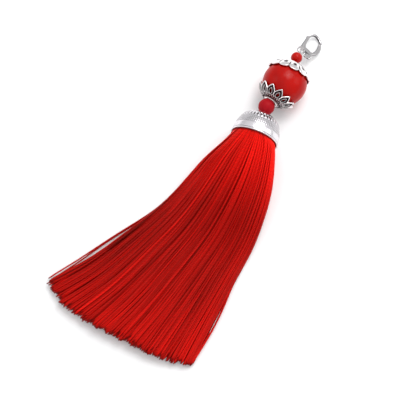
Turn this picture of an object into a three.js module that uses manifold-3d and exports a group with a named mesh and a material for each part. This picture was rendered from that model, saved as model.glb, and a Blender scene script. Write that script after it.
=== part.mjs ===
// A silk tassel charm lying on a flat surface: a fanned-out fringe under a domed metal cap,
// three beads with two petalled bead caps, and a lobster clasp on an eye pin.
// Millimetres, +Z up. The tassel cap's axis runs along +Y, from the fringe to the clasp.
// The origin is on the surface, under the middle of the whole charm.

import * as THREE from 'three';
import { mergeVertices } from 'three/addons/utils/BufferGeometryUtils.js';
import Module from 'manifold-3d';

const wasm = await Module();
wasm.setup();

const GAP = 0.3; // clearance between neighbouring pieces
const FLAT_DEPTH = 0.12; // depth of the flat spot on which a round piece rests
const MERGE_DISTANCE = 1e-4;

// Tassel cap: a dome whose height is measured from its mouth.
const CAP = {
  radius: 8.55,
  height: 10.1,
  mouthY: -0.9,
  wall: 0.55,
  fullness: 2.35, // exponent of the dome's superellipse; 2 is a plain ellipse
  holeRadius: 0.9,
  rimRoll: 0.15,
  ribs: 30,
  ribRelief: 0.28,
};
const CAP_AXIS_Z = CAP.radius + CAP.rimRoll - FLAT_DEPTH;

// Fringe: locks of silk cord in rows and columns, from the head in the cap to the cut edge.
const FRINGE = {
  columns: 28,
  rows: 5,
  fill: 0.8, // share of its cell that a lock takes up
  rootRadius: 7.55,
  rootDepth: 1.6, // how far the locks' roots reach into the head
  headStart: 1.7, // height of the head's lower face above the cap's mouth
  headGap: 0.4, // clearance between the head and the cap's inner wall
  endHeight: 4.4, // thickness of the fringe at its cut edge
  edgeThinning: 0.5, // how much thinner it is at the two sides
  bulge: 5.3, // how far the middle of the cut edge reaches past its corners
  bulgeSkew: 0.3, // how much more it bulges on the left than on the right
  raggedness: 1.6, // spread of the locks' ends
  undercut: 2.6, // how much shorter the lowest row is than the top one
};
// Plan outline of the fringe: its left and right edges at equal shares of their length.
const FAN_SECTIONS = [
  { leftX: -8.2, leftY: -0.9, rightX: 7.9, rightY: -0.9 },
  { leftX: -14.9, leftY: -15.4, rightX: 12.2, rightY: -16.8 },
  { leftX: -21.8, leftY: -30.6, rightX: 13.2, rightY: -33.8 },
  { leftX: -30.5, leftY: -45.2, rightX: 11.3, rightY: -50.6 },
  { leftX: -40.4, leftY: -59.4, rightX: 9.5, rightY: -67.4 },
  { leftX: -50.6, leftY: -73.1, rightX: 7.4, rightY: -83.9 },
];
const LOCK_STATIONS = [0, 0.05, 0.17, 0.36, 0.66, 1]; // shares of a lock's length
const OUTER_FACE = 1 - (1 - FRINGE.fill) / FRINGE.rows; // underside and top of the outer rows
const FLATTENED_AT = 0.55; // share of the length by which the round bundle lies flat
const STRAY_LOCK = { row: 1, start: 0.42, standOff: 1.7 }; // leaves the left edge

// Beads, each with its distance from the big bead's centre where it is strung on it.
const BIG_BEAD = { radius: 8.0, bore: 1.0, x: 3.15, y: 23.2 };
const LOWER_BEAD = { radius: 2.88, bore: 0.85, distance: 11.5 };
const UPPER_BEAD = { radius: 2.05, bore: 0.75, distance: 11.25 };
const BIG_BEAD_Z = BIG_BEAD.radius - FLAT_DEPTH;

// The string's two ends, from the big bead: heading from +Y towards +X and dip, in degrees.
const LOWER_END = { heading: 195.5, dip: -3.5 };
const UPPER_END = { heading: 3.5, dip: 3 };

// Bead caps: petalled shells on the big bead. Angles are measured from the shell's pole.
const BEAD_CAP = {
  wall: 0.5,
  poleAngle: 13.5, // degrees
  rowsOut: 4,
  stepsPerPetal: 4,
  rimLift: 0.12, // how far the petals' tips curl off the bead
  ridge: 0.2, // how far the petals' middles stand above the valleys between them
  windowRadius: 0.75, // pierced window in each petal
  windowAt: 0.6, // its place from the pole (0) to the petal's tip (1)
};
const PETALS = 12;
const POINTED_PETALS = {
  valleyAngle: 43,
  tipAngle: 56.5,
  sharpness: 1.2,
  roundness: 1,
  belly: 0.38, // how far the shell swells off the bead between its pole and its edge
  turn: 13.6, // degrees round the string
  seat: { heading: 195.5, dip: 2 }, // the way its pole faces
};
const ROUND_PETALS = {
  valleyAngle: 57,
  tipAngle: 66,
  sharpness: 2.6,
  roundness: 0.6,
  belly: 0.1,
  turn: 12.2,
  seat: { heading: 3.5, dip: -5 },
};

// Eye pin: one wire through all the beads, ending in an upright loop.
const PIN = {
  radius: 0.3,
  sides: 6,
  start: 8.2,
  loopRadius: 1.2,
  loopReach: 3.2, // from the upper bead's centre to the loop's, on the level
  loopZ: 5.2,
  steps: 38,
};
const LOOP_OPENING = { from: 65, to: 340 }; // degrees round the loop, from the bead's side

// Lobster clasp, in its own plane: y runs from its ring to the end of its hook, x to the gate.
const CLASP = {
  thickness: 1.05,
  curveSteps: 4, // straight steps between two points of its outline
  ringBore: 1.0,
  ringBand: 0.6,
  heading: 25, // degrees from +Y towards +X
  slope: 22.8, // degrees down from its ring to the surface
  roll: 17, // degrees about its length, which lowers the gate's side
  hangsAt: 20, // degrees round its ring, from its own axis, of the place held by the loop
};
const GATE = { pivotX: 2.4, pivotY: 2.15, bossRadius: 0.85, knobX: 4.3, knobY: 0.76, knobRadius: 0.5 };

const COLOURS = { silk: 0xb8121a, silver: 0xc9c9c6, glossBead: 0xb50f0f, satinBead: 0xa81226 };
const silk = new THREE.MeshStandardMaterial({ color: COLOURS.silk, roughness: 0.45 });
const silver = new THREE.MeshStandardMaterial({
  color: COLOURS.silver,
  roughness: 0.25,
  metalness: 1,
});
const glossBead = new THREE.MeshStandardMaterial({ color: COLOURS.glossBead, roughness: 0.15 });
const satinBead = new THREE.MeshStandardMaterial({ color: COLOURS.satinBead, roughness: 0.4 });

const { degToRad, lerp, smoothstep } = THREE.MathUtils;

// ---- solids ----

// Turns a closed three.js geometry into a solid: shared corners are merged and the triangles
// that collapse at a pole are left out.
function toSolid(geometry) {
  const bare = new THREE.BufferGeometry();
  bare.setAttribute('position', geometry.getAttribute('position'));
  bare.setIndex(geometry.getIndex());
  const merged = mergeVertices(bare, MERGE_DISTANCE);
  const corners = merged.getIndex().array;
  const kept = [];
  for (let i = 0; i < corners.length; i += 3) {
    const [a, b, c] = corners.slice(i, i + 3);
    if (a !== b && b !== c && c !== a) {
      kept.push(a, b, c);
    }
  }
  return new wasm.Manifold(new wasm.Mesh({
    numProp: 3,
    vertProperties: new Float32Array(merged.getAttribute('position').array),
    triVerts: new Uint32Array(kept),
  }));
}

function toGeometry(solid) {
  const shape = solid.getMesh();
  const geometry = new THREE.BufferGeometry();
  geometry.setAttribute('position', new THREE.BufferAttribute(shape.vertProperties, 3));
  geometry.setIndex(new THREE.BufferAttribute(shape.triVerts, 1));
  geometry.computeVertexNormals();
  return geometry;
}

function pieceOf(name, solid, material) {
  const mesh = new THREE.Mesh(toGeometry(solid), material);
  mesh.name = name;
  return mesh;
}

// Moves every corner of a geometry to where place(corner) puts it.
function mapCorners(geometry, place) {
  const corners = geometry.getAttribute('position');
  const corner = new THREE.Vector3();
  for (let i = 0; i < corners.count; i += 1) {
    const moved = place(corner.fromBufferAttribute(corners, i));
    corners.setXYZ(i, moved.x, moved.y, moved.z);
  }
  return geometry;
}

// Cuts away what reaches below the surface, for a piece that its group places.
function flattenedBelow(solid, group) {
  const depth = 20;
  const under = new THREE.BoxGeometry(200, 200, depth).translate(0, 0, -depth / 2);
  group.updateWorldMatrix(true, false);
  under.applyMatrix4(group.matrixWorld.clone().invert());
  return solid.subtract(toSolid(under));
}

function boreAlongY(radius, length) {
  return toSolid(new THREE.CylinderGeometry(radius, radius, length, 12));
}

// ---- tassel cap ----

// Radius of the dome at a height above its mouth, for a dome shrunk by an inset.
function domeRadius(height, inset) {
  const share = Math.min(height / (CAP.height - inset), 1);
  return (CAP.radius - inset) * (1 - share ** CAP.fullness) ** (1 / CAP.fullness);
}

function buildCap(group) {
  const ribBand = [6.8, 7.05, 7.65, 7.9];
  const heights = [1.2, 4.2, ...ribBand, 9.1, 9.8];
  const outside = heights.map((y) => new THREE.Vector2(domeRadius(y, 0), y));
  const inside = [8.5, 6.2, 3.2].map((y) => new THREE.Vector2(domeRadius(y, CAP.wall), y));
  const profile = [
    new THREE.Vector2(CAP.radius - CAP.wall, 0),
    new THREE.Vector2(CAP.radius + CAP.rimRoll, 0),
    new THREE.Vector2(CAP.radius + CAP.rimRoll, 0.8),
    ...outside,
    new THREE.Vector2(CAP.holeRadius, CAP.height),
    new THREE.Vector2(CAP.holeRadius, CAP.height - CAP.wall),
    ...inside,
    new THREE.Vector2(CAP.radius - CAP.wall, 0),
  ];
  const dome = new THREE.LatheGeometry(profile, CAP.ribs * 2);
  mapCorners(dome, (corner) => {
    const radius = Math.hypot(corner.x, corner.z);
    const step = Math.round((Math.atan2(corner.x, corner.z) / Math.PI) * CAP.ribs);
    const onBand = corner.y > ribBand[1] - 0.01 && corner.y < ribBand[2] + 0.01;
    const onOutside = radius > domeRadius(corner.y, 0) - 0.01;
    if (onBand && onOutside && step % 2 === 0) {
      const raised = 1 + CAP.ribRelief / radius;
      corner.set(corner.x * raised, corner.y, corner.z * raised);
    }
    return corner;
  });
  return pieceOf('tassel_cap', flattenedBelow(toSolid(dome), group), silver);
}

// ---- fringe ----

const fanEdge = (side) => new THREE.SplineCurve(
  FAN_SECTIONS.map((row) => new THREE.Vector2(row[`${side}X`], row[`${side}Y`])),
);
const leftEdge = fanEdge('left');
const rightEdge = fanEdge('right');

// A point of the fringe. Across runs from -1 at its left edge to 1 at its right, up from -1 at
// its underside to 1 at its top, and along from 0 at the cap's mouth to 1 at the cut edge. The
// section changes from a disc at the mouth to a low mound that lies level on the surface.
function fringePoint(across, up, along) {
  const discX = FRINGE.rootRadius * across * Math.sqrt(1 - up * up / 2);
  const discZ = CAP_AXIS_Z + FRINGE.rootRadius * up * Math.sqrt(1 - across * across / 2);
  if (along <= 0) {
    return new THREE.Vector3(discX, FRINGE.rootDepth, discZ);
  }
  const left = leftEdge.getPoint(along);
  const right = rightEdge.getPoint(along);
  const side = (across + 1) / 2;
  const fanX = lerp(left.x, right.x, side);
  const bulge = FRINGE.bulge * (1 - across ** 4) * (1 - FRINGE.bulgeSkew * across);
  const fanY = lerp(left.y, right.y, side) - bulge * along;
  const thin = 1 - FRINGE.edgeThinning * across * across;
  const moundZ = FRINGE.endHeight * thin * (up + OUTER_FACE) / (2 * OUTER_FACE);
  const spread = smoothstep(along, 0, 0.06);
  const settled = smoothstep(along, -0.02, FLATTENED_AT);
  return new THREE.Vector3(lerp(discX, fanX, spread), fanY, lerp(discZ, moundZ, settled));
}

// An even spread of values from 0 to 1 that looks irregular from lock to lock.
function scatter(column, row) {
  const value = Math.sin(column * 12.9898 + row * 78.233) * 437.585;
  return value - Math.floor(value);
}

function buildLock(column, row) {
  const across = -1 + (column + 0.5) * (2 / FRINGE.columns);
  const up = -1 + (row + 0.5) * (2 / FRINGE.rows);
  const length = rightEdge.getLength();
  const shortened = FRINGE.undercut * (1 - (row + 1) / FRINGE.rows)
    + FRINGE.raggedness * scatter(column, row);
  const reach = 1 - shortened / length;
  const strays = column === 0 && row === STRAY_LOCK.row;
  const lock = new THREE.BoxGeometry(2, LOCK_STATIONS.length, 2, 1, LOCK_STATIONS.length, 1);
  return toSolid(mapCorners(lock, (corner) => {
    const station = Math.round(LOCK_STATIONS.length / 2 - corner.y);
    const along = station === 0 ? -1 : Math.max(LOCK_STATIONS[station - 1], 1e-6) * reach;
    const point = fringePoint(
      across + (corner.x * FRINGE.fill) / FRINGE.columns,
      up + (corner.z * FRINGE.fill) / FRINGE.rows,
      along,
    );
    if (strays && along > STRAY_LOCK.start) {
      const away = (along - STRAY_LOCK.start) / (1 - STRAY_LOCK.start);
      point.x -= STRAY_LOCK.standOff * Math.sin(Math.PI * away * 0.8);
    }
    return point;
  }));
}

// The head: the bundle's tied end, a plug that follows the cap's inside.
function buildHead() {
  const inset = CAP.wall + FRINGE.headGap;
  const heights = [FRINGE.headStart, 3.6, 5.6, 7.2, 8.1];
  const profile = [
    new THREE.Vector2(0, FRINGE.headStart),
    ...heights.map((y) => new THREE.Vector2(domeRadius(y, inset), y)),
    new THREE.Vector2(0, 8.6),
  ];
  const plug = new THREE.LatheGeometry(profile, 20);
  return toSolid(plug.translate(0, CAP.mouthY, CAP_AXIS_Z));
}

function buildFringe() {
  const parts = [buildHead()];
  for (let row = 0; row < FRINGE.rows; row += 1) {
    for (let column = 0; column < FRINGE.columns; column += 1) {
      parts.push(buildLock(column, row));
    }
  }
  return pieceOf('tassel_fringe', wasm.Manifold.union(parts), silk);
}

// ---- beads and bead caps ----

// A group whose +Y points along the string at one of its ends, away from the big bead.
function stringGroup(end, distance, turn) {
  const group = new THREE.Group();
  group.rotation.set(-degToRad(end.dip), degToRad(turn), -degToRad(end.heading), 'ZXY');
  group.position.set(0, distance, 0).applyEuler(group.rotation);
  group.position.add(new THREE.Vector3(BIG_BEAD.x, BIG_BEAD.y, BIG_BEAD_Z));
  return group;
}

const onString = (end, distance) => stringGroup(end, distance, 0).position;

function buildSmallBead(name, bead, material) {
  const ball = toSolid(new THREE.SphereGeometry(bead.radius, 16, 10));
  const solid = ball.subtract(boreAlongY(bead.bore, bead.radius * 3));
  return pieceOf(name, solid, material);
}

function buildBigBead(group) {
  const ball = toSolid(new THREE.SphereGeometry(BIG_BEAD.radius, 28, 14));
  const from = onString(LOWER_END, BIG_BEAD.radius);
  const to = onString(UPPER_END, BIG_BEAD.radius);
  const along = to.clone().sub(from).normalize();
  const middle = from.clone().add(to).multiplyScalar(0.5).sub(group.position);
  const tunnel = new THREE.CylinderGeometry(BIG_BEAD.bore, BIG_BEAD.bore, 20, 12);
  const turn = new THREE.Quaternion().setFromUnitVectors(new THREE.Vector3(0, 1, 0), along);
  tunnel.applyQuaternion(turn).translate(middle.x, middle.y, middle.z);
  return pieceOf('big_bead', flattenedBelow(ball.subtract(toSolid(tunnel)), group), glossBead);
}

// Petalled shell round the +Y pole of the big bead. The lathe sweeps a strip of unit height:
// its height is 0 on the inner face and 1 on the outer one, and its radius less 1 is the share
// of the way from the pole's hole to the petals' edge.
function buildBeadCap(name, petals) {
  const shares = Array.from({ length: BEAD_CAP.rowsOut }, (_, i) => i / (BEAD_CAP.rowsOut - 1));
  const profile = [
    ...shares.map((share) => new THREE.Vector2(1 + share, 0)),
    ...shares.toReversed().map((share) => new THREE.Vector2(1 + share, 1)),
    new THREE.Vector2(1, 0),
  ];
  const strip = new THREE.LatheGeometry(profile, PETALS * BEAD_CAP.stepsPerPetal);
  const innerRadius = BIG_BEAD.radius + GAP;
  mapCorners(strip, ({ x, y, z }) => {
    const share = Math.hypot(x, z) - 1;
    const round = Math.atan2(x, z);
    const turns = (round / (2 * Math.PI)) * PETALS;
    const offCentre = Math.abs(turns - Math.round(turns)) * 2;
    const reach = (1 - offCentre ** petals.sharpness) ** petals.roundness;
    const edge = lerp(petals.valleyAngle, petals.tipAngle, reach);
    const angle = degToRad(lerp(BEAD_CAP.poleAngle, edge, share));
    const lift = BEAD_CAP.rimLift * share ** 3 * reach + petals.belly * Math.sin(Math.PI * share);
    const relief = y * (BEAD_CAP.wall + BEAD_CAP.ridge * share * (1 - offCentre));
    const radius = innerRadius + lift + relief;
    return new THREE.Vector3(
      radius * Math.sin(angle) * Math.sin(round),
      radius * Math.cos(angle),
      radius * Math.sin(angle) * Math.cos(round),
    );
  });
  const windows = [];
  const windowAngle = degToRad(lerp(BEAD_CAP.poleAngle, petals.tipAngle, BEAD_CAP.windowAt));
  for (let i = 0; i < PETALS; i += 1) {
    const punch = new THREE.CylinderGeometry(BEAD_CAP.windowRadius, BEAD_CAP.windowRadius, 4, 4);
    punch.translate(0, BIG_BEAD.radius + 1, 0).rotateX(windowAngle);
    punch.rotateY((i / PETALS) * 2 * Math.PI);
    windows.push(toSolid(punch));
  }
  return pieceOf(name, toSolid(strip).subtract(wasm.Manifold.union(windows)), silver);
}

// ---- eye pin ----

const upperHeading = degToRad(UPPER_END.heading);
const loopHeading = new THREE.Vector3(Math.sin(upperHeading), Math.cos(upperHeading), 0);
const loopCentre = onString(UPPER_END, UPPER_BEAD.distance)
  .addScaledVector(loopHeading, PIN.loopReach)
  .setZ(PIN.loopZ);

function buildEyePin() {
  const into = onString(LOWER_END, BIG_BEAD.radius);
  const outOf = onString(UPPER_END, BIG_BEAD.radius);
  const route = [
    new THREE.Vector3(0, PIN.start, CAP_AXIS_Z),
    onString(LOWER_END, LOWER_BEAD.distance),
    into,
    into.clone().add(outOf).multiplyScalar(0.5),
    outOf,
    onString(UPPER_END, UPPER_BEAD.distance),
    onString(UPPER_END, UPPER_BEAD.distance + UPPER_BEAD.radius),
  ];
  const turns = 10;
  for (let i = 0; i <= turns; i += 1) {
    const angle = degToRad(lerp(LOOP_OPENING.from, LOOP_OPENING.to, i / turns));
    const point = loopCentre.clone();
    point.addScaledVector(loopHeading, -PIN.loopRadius * Math.cos(angle));
    point.z += PIN.loopRadius * Math.sin(angle);
    route.push(point);
  }
  const section = new THREE.Shape();
  for (let i = 0; i < PIN.sides; i += 1) {
    const angle = (i / PIN.sides) * 2 * Math.PI;
    const corner = [PIN.radius * Math.cos(angle), PIN.radius * Math.sin(angle)];
    if (i === 0) {
      section.moveTo(...corner);
    } else {
      section.lineTo(...corner);
    }
  }
  const wire = new THREE.ExtrudeGeometry(section, {
    steps: PIN.steps,
    extrudePath: new THREE.CatmullRomCurve3(route),
    curveSegments: 1,
  });
  return pieceOf('eye_pin', toSolid(wire), silver);
}

// ---- clasp ----

const points = (pairs) => pairs.map(([x, y]) => new THREE.Vector2(x, y));

function cast(shape, group) {
  const geometry = new THREE.ExtrudeGeometry(shape, {
    depth: CLASP.thickness,
    bevelEnabled: false,
    curveSegments: CLASP.curveSteps,
  });
  geometry.translate(0, 0, -CLASP.thickness / 2);
  return flattenedBelow(toSolid(geometry), group);
}

function buildClaspBody(group) {
  const ringOuter = CLASP.ringBore + CLASP.ringBand;
  const body = new THREE.Shape();
  body.moveTo(ringOuter * Math.cos(0.6), ringOuter * Math.sin(0.6));
  body.absarc(0, 0, ringOuter, 0.6, Math.PI - 0.6, true);
  body.splineThru(points([
    [-1.57, 2.04], [-2.12, 4.14], [-2.65, 5.9], [-3.0, 6.45], [-2.62, 7.0], [-2.38, 7.9],
    [-2.16, 9.46], [-1.3, 10.42], [0, 10.63], [1.57, 10.3], [2.65, 9.6],
  ]));
  body.lineTo(1.75, 9.3);
  body.splineThru(points([
    [0.9, 9.68], [0.13, 9.79], [-1.1, 9.63], [-1.8, 8.53], [-1.86, 7.12],
    [-1.41, 5.8], [-0.76, 3.7], [-0.1, 2.75], [0.73, 2.25],
  ]));
  const notch = GATE.bossRadius + GAP;
  body.absarc(GATE.pivotX, GATE.pivotY, notch, degToRad(170), degToRad(225), false);
  body.closePath();
  const bore = new THREE.Path();
  bore.absarc(0, 0, CLASP.ringBore, 0, 2 * Math.PI, false);
  body.holes.push(bore);
  return pieceOf('clasp_body', cast(body, group), silver);
}

function buildClaspGate(group) {
  const gate = new THREE.Shape();
  gate.moveTo(3.1, 3.6);
  gate.absarc(GATE.pivotX, GATE.pivotY, GATE.bossRadius, degToRad(62), degToRad(235), false);
  gate.lineTo(1.97, 0.4);
  gate.splineThru(points([[2.1, -0.4], [2.6, -0.5], [3.3, -0.1], [3.9, 0.32]]));
  gate.absarc(GATE.knobX, GATE.knobY, GATE.knobRadius, degToRad(230), degToRad(450), false);
  gate.splineThru(points([
    [3.8, 1.9], [4.15, 3.1], [4.6, 4.4], [4.54, 6.2], [3.96, 7.9], [2.88, 9.0],
  ]));
  gate.lineTo(2.0, 8.5);
  gate.splineThru(points([[2.74, 7.1], [3.2, 5.1], [3.1, 3.6]]));
  return pieceOf('clasp_gate', cast(gate, group), silver);
}

// ---- assembly ----

const charm = new THREE.Group();

const capGroup = new THREE.Group();
capGroup.position.set(0, CAP.mouthY, CAP_AXIS_Z);
capGroup.add(buildCap(capGroup));
charm.add(capGroup, buildFringe());

const lowerCapGroup = stringGroup(POINTED_PETALS.seat, 0, POINTED_PETALS.turn);
lowerCapGroup.add(buildBeadCap('bead_cap_lower', POINTED_PETALS));
const upperCapGroup = stringGroup(ROUND_PETALS.seat, 0, ROUND_PETALS.turn);
upperCapGroup.add(buildBeadCap('bead_cap_upper', ROUND_PETALS));
const bigBeadGroup = new THREE.Group();
bigBeadGroup.position.set(BIG_BEAD.x, BIG_BEAD.y, BIG_BEAD_Z);
bigBeadGroup.add(buildBigBead(bigBeadGroup));
const lowerBeadGroup = stringGroup(LOWER_END, LOWER_BEAD.distance, 0);
lowerBeadGroup.rotation.z = -degToRad((LOWER_END.heading + 180) / 2); // bends halfway to the cap
lowerBeadGroup.add(buildSmallBead('small_bead_lower', LOWER_BEAD, satinBead));
const upperBeadGroup = stringGroup(UPPER_END, UPPER_BEAD.distance, 0);
upperBeadGroup.add(buildSmallBead('small_bead_upper', UPPER_BEAD, glossBead));
charm.add(lowerCapGroup, upperCapGroup, bigBeadGroup, lowerBeadGroup, upperBeadGroup);
charm.add(buildEyePin());

const claspHeading = new THREE.Group();
claspHeading.rotation.z = -degToRad(CLASP.heading);
const claspSlope = new THREE.Group();
claspSlope.rotation.set(-degToRad(CLASP.slope), degToRad(CLASP.roll), 0, 'XYZ');
claspHeading.add(claspSlope);
claspHeading.updateMatrixWorld(true);
const ringToLoop = new THREE.Vector3(0, CLASP.ringBore + CLASP.ringBand / 2, 0);
ringToLoop.applyAxisAngle(new THREE.Vector3(0, 0, 1), degToRad(CLASP.hangsAt));
ringToLoop.applyMatrix4(claspSlope.matrixWorld);
claspHeading.position.copy(loopCentre).add(ringToLoop);
claspSlope.add(buildClaspBody(claspSlope), buildClaspGate(claspSlope));
charm.add(claspHeading);

// The charm is moved as a whole so that its origin is under the middle of its box.
const box = new THREE.Box3().setFromObject(charm, true);
const middle = box.getCenter(new THREE.Vector3());
charm.position.set(-middle.x, -middle.y, -box.min.z);

export default charm;
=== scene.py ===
"""Silk tassel charm: fringe, cap, beads, bead caps, eye pin and lobster clasp.

Laid out as a Blender add-on and run as a script. Lengths in the tables are in millimetres, in
the tassel's own frame: the origin is on the surface under the cap's axis, 0.9 mm inside its
mouth, +Y points from the fringe to the clasp and +Z up from the surface.
"""

import bpy
import numpy as np
from bpy.props import FloatProperty, FloatVectorProperty, IntProperty, PointerProperty
from mathutils import Matrix, Vector


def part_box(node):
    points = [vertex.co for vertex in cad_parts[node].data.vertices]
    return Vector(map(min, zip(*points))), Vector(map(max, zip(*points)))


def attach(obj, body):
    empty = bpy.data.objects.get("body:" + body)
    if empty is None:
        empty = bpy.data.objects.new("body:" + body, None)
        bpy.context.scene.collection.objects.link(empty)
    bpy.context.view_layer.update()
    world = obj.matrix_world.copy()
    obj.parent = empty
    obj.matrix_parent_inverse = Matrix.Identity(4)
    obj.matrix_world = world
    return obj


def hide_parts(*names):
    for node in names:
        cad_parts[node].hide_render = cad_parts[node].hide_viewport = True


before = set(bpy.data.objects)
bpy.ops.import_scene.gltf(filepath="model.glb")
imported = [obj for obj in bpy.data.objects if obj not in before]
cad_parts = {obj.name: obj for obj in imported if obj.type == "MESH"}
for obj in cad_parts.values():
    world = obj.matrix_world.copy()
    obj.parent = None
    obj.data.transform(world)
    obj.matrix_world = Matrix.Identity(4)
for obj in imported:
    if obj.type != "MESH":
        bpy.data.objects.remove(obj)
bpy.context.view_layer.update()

bl_info = {
    "name": "Silk tassel charm",
    "version": (1, 0, 0),
    "blender": (4, 5, 0),
    "location": "View3D > Sidebar > Tassel",
    "description": "Builds a beaded silk tassel charm round its packed frame",
    "category": "Add Mesh",
}

MM = 0.001
SEED = 7

# ---- dimensions, in millimetres ----

CAP_RADIUS = 8.55
CAP_HEIGHT = 10.1
CAP_MOUTH_Y = -0.9
CAP_FULLNESS = 2.35
CAP_WALL = 0.55
CAP_HOLE = 0.9
CAP_AXIS_Z = 8.58

BIG_BEAD = np.array([3.15, 23.2, 7.88])
BEAD_RADIUS = 8.0
# The string's two ends, from the big bead: heading from +Y towards +X and dip, in degrees.
LOWER_END = (195.5, -3.5)
UPPER_END = (3.5, 3.0)
LOWER_BEAD_AT = 11.5
UPPER_BEAD_AT = 11.25
TOP_BEAD_RADIUS = 2.05
BORE_TAPER = 0.97

# Where the dome's relief changes, as heights over its mouth.
CAP_RIM_TOP = 0.55
CAP_RIM_LINE = 0.62
CAP_BAND_LINE = 2.9
CAP_HATCH_TOP = 6.15
CAP_SHOULDER = (6.0, 7.95)
CAP_SLOTS = (6.1, 7.7)
HATCH_ROW = 0.80

FRINGE_LENGTH = 85.0
FRINGE_PIECES = 4
CORD_STATIONS = 36
CORD_SIDES = 5
SILK_PLIES = 2.0
TWIST_PITCH = 1.3  # length of a cord in which its twist goes on by one ply
ROOT_RADIUS = 7.9
ROOT_AT = -0.03  # the cords start this share of their length inside the cap
OPENED_AT = 0.13  # where the middle has the fan's full width, and how much sooner the right
OPENED_SKEW = 0.07
FLATTENED_AT = 0.55  # where the section is a mound, and how much sooner the top left is
CORNER_SOONER = 0.18
END_HEIGHT = 4.4
EDGE_THINNING = 0.5
OUTER_FACE = 0.96
BULGE = 5.3
BULGE_SKEW = 0.3
UNDERCUT = 0.025  # the share of its length that the lowest cord is shorter than the top one
TUFT_DEPTH = 0.005
EDGE_SPANS = 400
# Plan outline of the fringe: its left and right edges at equal shares of their length.
FAN_SECTIONS = np.array([
    (-8.2, -0.9, 7.9, -0.9),
    (-14.9, -15.4, 12.1, -16.8),
    (-21.8, -30.6, 12.8, -33.8),
    (-30.1, -45.5, 10.8, -50.6),
    (-39.4, -60.0, 8.8, -67.4),
    (-50.6, -73.1, 7.0, -83.9),
])
# Cords that leave an edge: the edge, how near to it they lie, their height in the section and
# its spread, how far they stand off, and the shares of the length between which they do.
STRAYS = ((-1, 0.90, 0.12, 0.07, 2.6, 0.38, 1.12), (1, 0.93, 0.15, 0.12, 1.2, 0.56, 1.02))

CLASP_THICKNESS = 1.05
CLASP_BORE = 1.0
CLASP_BAND = 0.6
CLASP_HEADING = np.radians(25.0)
CLASP_SLOPE = np.radians(22.8)
CLASP_ROLL = np.radians(17.0)
CLASP_HANGS_AT = np.radians(20.0)

PIN_RADIUS = 0.3
PIN_FOOT_Y = 8.2
PIN_STATIONS = 200
PIN_SIDES = 12
LOOP_RADIUS = 1.2
LOOP_REACH = 3.2
LOOP_Z = 5.2
LOOP_TURN = (65, 340)

VIEW_X, VIEW_Y = -10.98, -26.16  # the point of the floor in the middle of the view


def colour_setting(name, description, *shade):
    return FloatVectorProperty(name=name, description=description, size=4, subtype="COLOR",
                               default=(*shade, 1.0), min=0.0, max=1.0)


def length_setting(name, description, millimetres):
    return FloatProperty(name=name, description=description, default=millimetres * MM,
                         subtype="DISTANCE", unit="LENGTH")


def angle_setting(name, description, degrees):
    return FloatProperty(name=name, description=description, default=np.radians(degrees),
                         subtype="ANGLE", unit="ROTATION")


def power_setting(name, description, watts):
    return FloatProperty(name=name, description=f"{description}, in watts", default=watts)


def tassel_origin():
    """Where the tassel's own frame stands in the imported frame, by the big bead and the cap."""
    low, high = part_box("big_bead")
    cap_low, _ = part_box("tassel_cap")
    return np.array([(low.x + high.x) / 2 - BIG_BEAD[0] * MM, cap_low.y - CAP_MOUTH_Y * MM, 0.0])


ORIGIN = tassel_origin()


def smoothstep(value, low, high):
    """The smooth step 3t^2 - 2t^3 between two limits, and flat outside them."""
    t = np.clip((value - low) / (high - low), 0.0, 1.0)
    return t * t * (3.0 - 2.0 * t)


def between(value, low, high, soft):
    """1 between two limits and 0 outside them, with a soft step inside each."""
    return smoothstep(value, low, low + soft) * smoothstep(value, high, high - soft)


def line(value, middle, width):
    """A soft line, exp(-((value - middle) / width)^2)."""
    return np.exp(-(((value - middle) / width) ** 2))


def wave(value, turns, phase):
    return np.sin(2 * np.pi * value * turns + phase)


def swell(angle):
    """From 0 to 1 and back as the angle goes round."""
    return 0.5 + 0.5 * np.cos(angle)


def unit(vectors):
    return vectors / np.linalg.norm(vectors, axis=-1, keepdims=True)


def round_angles(count):
    return np.linspace(0.0, 2 * np.pi, count, endpoint=False)


def spline(points, samples):
    """A Catmull-Rom curve through the points, at equal shares of its spans."""
    points = np.asarray(points, float)
    t = np.linspace(0.0, len(points) - 1, samples)
    span = np.minimum(t.astype(int), len(points) - 2)
    u = (t - span)[:, None]
    p0, p1, p2, p3 = (points[np.clip(span + step, 0, len(points) - 1)] for step in (-1, 0, 1, 2))
    return 0.5 * (
        2 * p1 + (p2 - p0) * u
        + (2 * p0 - 5 * p1 + 4 * p2 - p3) * u ** 2
        + (3 * p1 - p0 - 3 * p2 + p3) * u ** 3
    )


def string_frame(heading, dip, turn=0.0):
    """Rotation whose +Y points along the string, away from the big bead; in degrees."""
    heading, dip, turn = np.radians([heading, dip, turn])
    return np.array(Matrix.Rotation(-heading, 3, "Z") @ Matrix.Rotation(-dip, 3, "X")
                    @ Matrix.Rotation(turn, 3, "Y"))


def string_point(end, distance):
    """The point of the string's middle line at a distance from the big bead's centre."""
    return BIG_BEAD + string_frame(*end) @ np.array([0.0, distance, 0.0])


LOWER_BEAD = string_point(LOWER_END, LOWER_BEAD_AT)
UPPER_BEAD = string_point(UPPER_END, UPPER_BEAD_AT)


# ---- meshes from arrays ----

def grid_quads(rows, columns, wrap_rows=True):
    """Quads of a grid of points stored row by row, whose columns close in a ring."""
    row = np.arange(rows if wrap_rows else rows - 1)[:, None]
    column = np.arange(columns)[None, :]
    next_row, next_column = (row + 1) % rows, (column + 1) % columns
    corners = [row * columns + column, row * columns + next_column,
               next_row * columns + next_column, next_row * columns + column]
    return np.stack(corners, -1).reshape(-1, 4)


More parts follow.
